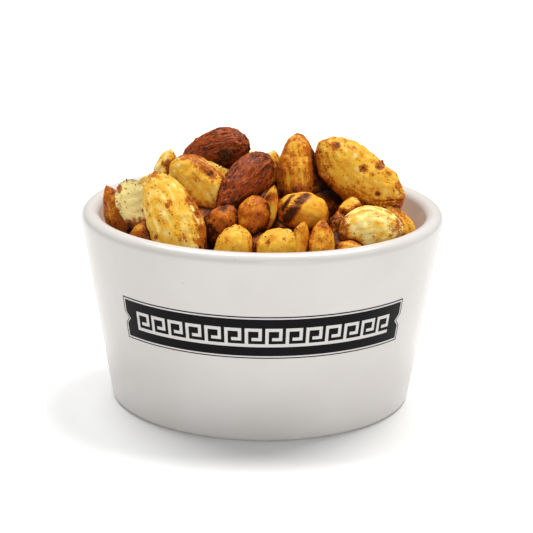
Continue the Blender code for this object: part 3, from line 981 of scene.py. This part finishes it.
def flesh_finish(colours):
    """Roasted flesh: cream to gold in lengthwise streaks, with brown spots and scorched places, and
    painted shade where the nuts are shut in.
    """
    finish = Finish("roasted_flesh", 0.42, IOR=1.46, Specular_IOR_Level=0.13)
    grain = finish.grain()
    toast, tone = finish.reading("toast"), finish.reading("tone")
    streak = finish.cloud(finish.scaled(grain, (0.22, 1.0, 1.0)), 0.9, 3.0, 0.55)
    blotch = finish.cloud(grain, 0.34, 3.0, 0.6)
    fine = finish.cloud(grain, 1.5, 3.0, 0.6)
    grit = finish.cloud(grain, 4.0, 2.0, 0.6)
    # Painted shade: where neighbours shut a nut in, its flesh is made deeper gold, browner and at last
    # nearly black.
    hollow = finish.reading("hollow")
    golden = tone + (blotch - 0.5) * 0.9 + (streak - 0.5) * 1.0 + hollow * 1.2
    colour = finish.blend(golden.ramp(0.0, 0.5), colours.cream, colours.straw)
    colour = finish.blend(golden.ramp(0.45, 1.05), colour, colours.gold)
    browned = toast + (fine - 0.5) * 0.8 + (grit - 0.5) * 1.2 + (blotch - 0.5) * 0.6 + hollow * 1.1
    browned = browned + (streak - 0.5) * 0.8
    for scale in (0.3, 0.9):
        distance, shade = finish.dots(grain, scale)
        depth = (shade + toast).ramp(0.9, 1.6, 0.0, 0.5) - distance - (fine - 0.5) * 0.6
        browned = depth.ramp(-0.08, 0.16) * 0.3 + browned
    colour = finish.blend(browned.ramp(0.50, 0.78) * 0.92, colour, colours.toasted)
    colour = finish.blend(browned.ramp(0.92, 1.50) * 0.95, colour, colours.burnt)
    # Painted shade: nearly black where the nut is shut in most.
    colour = finish.blend(hollow.ramp(0.30, 0.68) * 0.88, colour, colours.burnt)
    finish.set("Base Color", colour)
    finish.set("Roughness", blotch * 0.3 + fine * 0.2 + 0.2)
    finish.raised(fine * 0.8 + streak * 0.5, 0.25 * MM, 0.7)
    return finish.material


def skin_finish(colours):
    """Almond skin: red-brown, with darker lengthwise folds and a dusting of spice."""
    finish = Finish("almond_skin", 0.4, IOR=1.48, Specular_IOR_Level=0.2)
    grain = finish.grain()
    fold = finish.cloud(finish.scaled(grain, (0.25, 1.0, 1.0)), 0.85, 3.0, 0.6, 0.8)
    fibre = finish.cloud(finish.scaled(grain, (0.3, 1.0, 1.0)), 2.2, 2.0, 0.5, 0.5)
    patch = finish.cloud(grain, 0.25)
    dust = finish.cloud(grain, 2.6, 3.0, 0.7)
    light = tinted(colours.skin, 1.6, 2.0, 2.2)
    ridge = (fold * 0.6 + fibre * 0.4 + (patch - 0.5) * 0.3).ramp(0.36, 0.58)
    colour = finish.blend(ridge, colours.skin_dark, colours.skin)
    colour = finish.blend(fibre.ramp(0.52, 0.68) * ridge, colour, light)
    colour = finish.blend(dust.ramp(0.64, 0.74) * 0.6, colour, colours.gold)
    scorch = finish.reading("toast") + (dust - 0.5) * 1.6 + (patch - 0.5) * 0.8
    colour = finish.blend(scorch.ramp(0.78, 1.12) * 0.92, colour, colours.herb)
    # Painted shade: the skin goes nearly black where its neighbours shut the nut in.
    colour = finish.blend(finish.reading("hollow").ramp(0.2, 0.7) * 0.7, colour, colours.burnt)
    finish.set("Base Color", colour)
    finish.set("Roughness", dust * 0.4 + 0.22)
    finish.raised(fold * 0.7 + fibre * 0.3 + dust * 0.15, 0.7 * MM, 1.0)
    return finish.material


def add_core(context):
    """The mass of nuts that fills the ramekin below those that show, coloured dark as painted shade for
    the gaps between them.
    """
    wall = wall_of(context.scene.ramekin_settings)
    colours = context.scene.nut_settings
    low, high = CORE_FOOT_HEIGHT * MM, CORE_EDGE_HEIGHT * MM
    edge = wall.inside(high) - CLEARANCE * MM
    start()
    bpy.ops.mesh.primitive_cone_add(
        vertices=96, radius1=wall.inside(low) - CORE_FOOT_INSET * MM, radius2=edge,
        depth=high - low, location=(0, 0, (high + low) / 2),
    )
    core = open_for_editing(bpy.context.object)
    pick(core, "FACE", lambda face: face.normal.z > 0.9)
    for _ in range(CORE_RINGS):
        bpy.ops.mesh.inset(thickness=edge / (CORE_RINGS + 2))
    bpy.ops.object.mode_set(mode="OBJECT")
    for corner in core.data.vertices:
        if corner.co.z > high - 0.1 * MM:
            right, back = corner.co.x / MM, corner.co.y / MM
            lump = CORE_LUMPS * noise.noise(Vector((right, back, 0)) * 0.3)
            corner.co.z = (core_height(right, back, wall) + lump - CORE_SINK) * MM
    bpy.ops.object.shade_smooth_by_angle(angle=math.radians(50))
    finish = Finish("heap_depths_painted_shade", 0.7, Specular_IOR_Level=0.1)
    crumb = finish.cloud(finish.place(), 0.7, 4.0, 0.65)
    # Painted shade: dark brown to near black, so that the gaps between the nuts read as shadow.
    finish.set("Base Color", finish.blend(crumb.ramp(0.5, 0.8), colours.burnt, colours.toasted))
    finish.raised(crumb, 0.8 * MM, 0.8)
    core.data.materials.append(finish.material)
    settle(core, "heap_core")
    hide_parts("nut_heap")


# Loose spice and herbs

HERB_SEED, SPICE_SEED = 5, 6
CRUMB_TRIES = 12
CRUMB_LOWEST = 42 * MM
CRUMB_SIGHT = Vector((0, -0.35, 1)).normalized()
OPEN_REACH = 60 * MM
TINY_AREA = 1e-12


def crumb_shape(draw, flatness):
    """The corners and faces of one crumb about a millimetre across: a knocked-about octahedron."""
    corners = []
    for axis in range(3):
        for sign in (-1, 1):
            corner = Vector((0, 0, 0))
            corner[axis] = sign * draw.uniform(0.36, 0.62)
            corner += Vector([draw.uniform(-0.12, 0.12) for _ in range(3)])
            corner.z *= flatness
            corners.append(corner)
    faces = [(1, 3, 5), (3, 0, 5), (0, 2, 5), (2, 1, 5), (3, 1, 4), (0, 3, 4), (2, 0, 4), (1, 2, 4)]
    return corners, faces


def taken_together(names):
    """The corners and faces of these pieces, and a tree of them that rays can be cast at."""
    corners, faces = [], []
    for name in names:
        mesh = bpy.data.objects[name].data
        first = len(corners)
        corners += [corner.co.copy() for corner in mesh.vertices]
        faces += [tuple(first + index for index in face.vertices) for face in mesh.polygons]
    faces.sort()  # a new sphere's faces come in another order at each run
    return corners, faces, BVHTree.FromPolygons(corners, faces)


def crumb_spots(draw, count, names, clusters):
    """Places on the nuts that can be seen from above or in front, then those in the clusters,
    each with the direction that it faces."""
    corners, faces, tree = taken_together(names)
    tries, made = 0, 0
    while made < count and tries < count * CRUMB_TRIES:
        tries += 1
        face = faces[draw.randrange(len(faces))]
        spot = sum((corners[index] for index in face), Vector()) / len(face)
        out = (corners[face[1]] - corners[face[0]]).cross(corners[face[2]] - corners[face[0]])
        if out.length < TINY_AREA or spot.z < CRUMB_LOWEST:
            continue
        out.normalize()
        sight = (CRUMB_SIGHT + out).normalized()
        if tree.ray_cast(spot + out * 0.2 * MM, sight, OPEN_REACH)[0] is None:
            made += 1
            yield spot, out
    for centre, reach, number in clusters:
        for _ in range(number):
            off = Vector([draw.gauss(0, 0.5) for _ in range(3)]) * reach * MM
            yield tree.find_nearest(centre + off)[:2]


def scatter(name, count, seed, sizes, flatness, stretch, finish, names, clusters=()):
    """Crumbs pressed onto the nuts, as one piece."""
    draw = random.Random(seed)
    points, shells = [], []
    for spot, out in crumb_spots(draw, count, names, clusters):
        add_crumb(points, shells, draw, spot, out, draw.uniform(*sizes) * MM, flatness, stretch)
    mesh = bpy.data.meshes.new(name)
    mesh.from_pydata(points, [], shells)
    mesh.materials.append(finish)
    thing = add_object(name, mesh)
    start()
    thing.select_set(True)
    bpy.context.view_layer.objects.active = thing
    settle(thing, name)


def crumb_place(number, along, turn):
    """A place on one of the placed nuts, in metres."""
    nut = PLACED_NUTS[number]
    spot = bent(nut.form, nut.size, on_skin(nut, along / 4, turn))
    return (Vector(nut.place) + laid(nut, TOWARDS_VIEWER) @ spot) * MM


def add_crumb(points, shells, draw, spot, out, size, flatness, stretch):
    """Adds one crumb, lying nearly flat on the nut and turned at random."""
    corners, faces = crumb_shape(draw, flatness)
    turn = out.to_track_quat("Z", "Y") @ Vector((0, 0, 1)).rotation_difference(
        Vector((draw.uniform(-0.3, 0.3), draw.uniform(-0.3, 0.3), 1))
    )
    spin = Matrix.Rotation(draw.uniform(0, math.tau), 3, "Z")
    first = len(points)
    long = draw.uniform(1, stretch)
    for corner in corners:
        shaped = Vector((corner.x * long, corner.y, corner.z)) * size
        points.append(spot + turn @ (spin @ shaped))
    shells += [tuple(first + index for index in face) for face in faces]


def crumb_finish(name, colour, other, roughness):
    """The finish of loose crumbs, going from one colour to the other."""
    finish = Finish(name, roughness, Specular_IOR_Level=0.15)
    patch = finish.cloud(finish.place(), 0.9)
    finish.set("Base Color", finish.blend(patch.ramp(0.4, 0.6), colour, other))
    finish.raised(finish.cloud(finish.place(), 6.0), 0.1 * MM, 0.6)
    return finish.material


# Stage

IMAGE_SIDE = 533
FOCAL_PIXELS = 2000.0
CAMERA_DISTANCE = 532.4 * MM
CAMERA_TARGET = Vector((1.25, 0.0, 34.4)) * MM
ORBIT_CENTRE = Vector((0.0, 0.0, 25.175)) * MM
CAMERA_ROLL = math.radians(0.91)
LIGHT_TARGET = Vector((0.0, 0.0, 40.0)) * MM


def aim(thing, place, target, roll=0.0):
    """Puts a camera or a light here, facing there."""
    back = (place - target).normalized()
    right = Vector((0, 0, 1)).cross(back).normalized()
    up = back.cross(right)
    turned = Matrix((
        math.cos(roll) * right + math.sin(roll) * up,
        math.cos(roll) * up - math.sin(roll) * right,
        back,
    )).transposed()
    thing.matrix_world = Matrix.Translation(place) @ turned.to_4x4()


def add_light(name, place, size, power, colour=(1, 1, 1)):
    """A round, soft light that faces the ramekin."""
    light = bpy.data.lights.new(name, "AREA")
    light.shape = "DISK"
    light.size = size
    light.energy = power
    light.color = colour
    aim(add_object(name, light), Vector(place), LIGHT_TARGET)


def add_stage(settings):
    """The floor, the light and the camera."""
    start()
    bpy.ops.mesh.primitive_circle_add(
        vertices=96, radius=8.0, fill_type="NGON", location=(0, 0, -0.02 * MM)
    )
    floor = bpy.context.object
    floor.name = "stage_floor"
    finish = Finish("stage_white", 0.9)
    finish.set("Base Color", settings.floor_colour)
    finish.set("Emission Color", (1, 1, 1))
    finish.shader.inputs["Emission Strength"].default_value = settings.floor_glow
    floor.data.materials.append(finish.material)

    scene = bpy.context.scene
    world = bpy.data.worlds.new("studio") if scene.world is None else scene.world
    scene.world = world
    world.use_nodes = True
    background = world.node_tree.nodes.get("Background")
    background.inputs["Color"].default_value = (1, 1, 1, 1)
    background.inputs["Strength"].default_value = settings.surround
    scene.view_settings.view_transform = "Standard"

    add_light("right_light", (0.72, 0.62, 2.3), 1.2, settings.right_power, (1.0, 0.99, 0.97))
    add_light("left_light", (-0.72, 0.62, 2.3), 1.2, settings.left_power)
    add_light("front_light", (0.7, -2.4, 0.45), 1.6, settings.front_power, (0.97, 0.985, 1.0))

    camera = bpy.data.cameras.new("camera")
    camera.sensor_width = 36.0
    camera.lens = FOCAL_PIXELS / IMAGE_SIDE * camera.sensor_width
    camera.clip_start = 0.01
    scene.camera = add_object("camera", camera)
    place = ORBIT_CENTRE + TOWARDS_VIEWER * CAMERA_DISTANCE
    aim(scene.camera, place, CAMERA_TARGET, CAMERA_ROLL)


# Operators

class SPICEDNUTS_OT_ramekin(bpy.types.Operator):
    """Add the glazed ramekin"""

    bl_idname = "spicednuts.ramekin"
    bl_label = "Ramekin"

    def execute(self, context):
        add_ramekin(context.scene.ramekin_settings)
        return {"FINISHED"}


class SPICEDNUTS_OT_band(bpy.types.Operator):
    """Add the printed band round its front"""

    bl_idname = "spicednuts.band"
    bl_label = "Printed band"

    def execute(self, context):
        add_band(context.scene.ramekin_settings)
        return {"FINISHED"}


class SPICEDNUTS_OT_core(bpy.types.Operator):
    """Add the mass that the nuts lie on"""

    bl_idname = "spicednuts.core"
    bl_label = "Core of the heap"

    def execute(self, context):
        add_core(context)
        return {"FINISHED"}


class SPICEDNUTS_OT_blanched(bpy.types.Operator):
    """Add the blanched nuts: almonds, cashews, split and small ones"""

    bl_idname = "spicednuts.blanched"
    bl_label = "Blanched nuts"

    def execute(self, context):
        flesh = flesh_finish(context.scene.nut_settings)
        for kind in (PALE, BEANS, SPLIT, SMALL, LOWER):
            add_nuts(context, kind, flesh)
        return {"FINISHED"}


class SPICEDNUTS_OT_skinned(bpy.types.Operator):
    """Add the almonds in their skins"""

    bl_idname = "spicednuts.skinned"
    bl_label = "Almonds in their skins"

    def execute(self, context):
        add_nuts(context, SKIN, skin_finish(context.scene.nut_settings))
        return {"FINISHED"}


class SPICEDNUTS_OT_spice(bpy.types.Operator):
    """Add the loose spice and herbs"""

    bl_idname = "spicednuts.spice"
    bl_label = "Spice and herbs"

    def execute(self, context):
        colours = context.scene.nut_settings
        nuts = (PALE, BEANS, SPLIT, SMALL, LOWER, SKIN)
        herb = crumb_finish("dried_herb", colours.herb, (0.045, 0.030, 0.010), 0.6)
        spice = crumb_finish("ground_spice", colours.spice, (0.50, 0.15, 0.012), 0.5)
        paint_crevice_shade(nuts)
        gathered = [(crumb_place(*where), reach, number) for *where, reach, number in CRUMB_CLUSTERS]
        scatter(
            "herb_flakes", colours.herb_count, HERB_SEED, (0.22, 0.55), 0.35, 2.2, herb, nuts, gathered
        )
        scatter("spice_grains", colours.spice_count, SPICE_SEED, (0.20, 0.50), 0.6, 1.5, spice, nuts)
        return {"FINISHED"}


class SPICEDNUTS_OT_stage(bpy.types.Operator):
    """Add the floor, the lights and the camera"""

    bl_idname = "spicednuts.stage"
    bl_label = "Stage"

    def execute(self, context):
        add_stage(context.scene.stage_settings)
        return {"FINISHED"}


PIECES = (
    SPICEDNUTS_OT_ramekin,
    SPICEDNUTS_OT_band,
    SPICEDNUTS_OT_core,
    SPICEDNUTS_OT_blanched,
    SPICEDNUTS_OT_skinned,
    SPICEDNUTS_OT_spice,
    SPICEDNUTS_OT_stage,
)


class SPICEDNUTS_PT_pieces(bpy.types.Panel):
    """Lists the pieces"""

    bl_idname = "SPICEDNUTS_PT_pieces"
    bl_label = "Ramekin of spiced nuts"
    bl_space_type = "VIEW_3D"
    bl_region_type = "UI"
    bl_category = "Spiced nuts"

    def draw(self, context):
        column = self.layout.column()
        for piece in PIECES:
            column.operator(piece.bl_idname)
        for owner, settings in SETTINGS.items():
            column.separator()
            for name in settings.__annotations__:
                column.prop(getattr(context.scene, owner), name)


SETTINGS = {
    "ramekin_settings": RamekinSettings,
    "nut_settings": NutSettings,
    "stage_settings": StageSettings,
}
CLASSES = (*SETTINGS.values(), *PIECES, SPICEDNUTS_PT_pieces)


def register():
    for entry in CLASSES:
        bpy.utils.register_class(entry)
    for name, settings in SETTINGS.items():
        setattr(bpy.types.Scene, name, PointerProperty(type=settings))


def unregister():
    for name in SETTINGS:
        delattr(bpy.types.Scene, name)
    for entry in reversed(CLASSES):
        bpy.utils.unregister_class(entry)


def main():
    register()
    bpy.ops.spicednuts.ramekin()
    bpy.ops.spicednuts.band()
    bpy.ops.spicednuts.core()
    bpy.ops.spicednuts.blanched()
    bpy.ops.spicednuts.skinned()
    bpy.ops.spicednuts.spice()
    bpy.ops.spicednuts.stage()


if __name__ == "__main__":
    main()
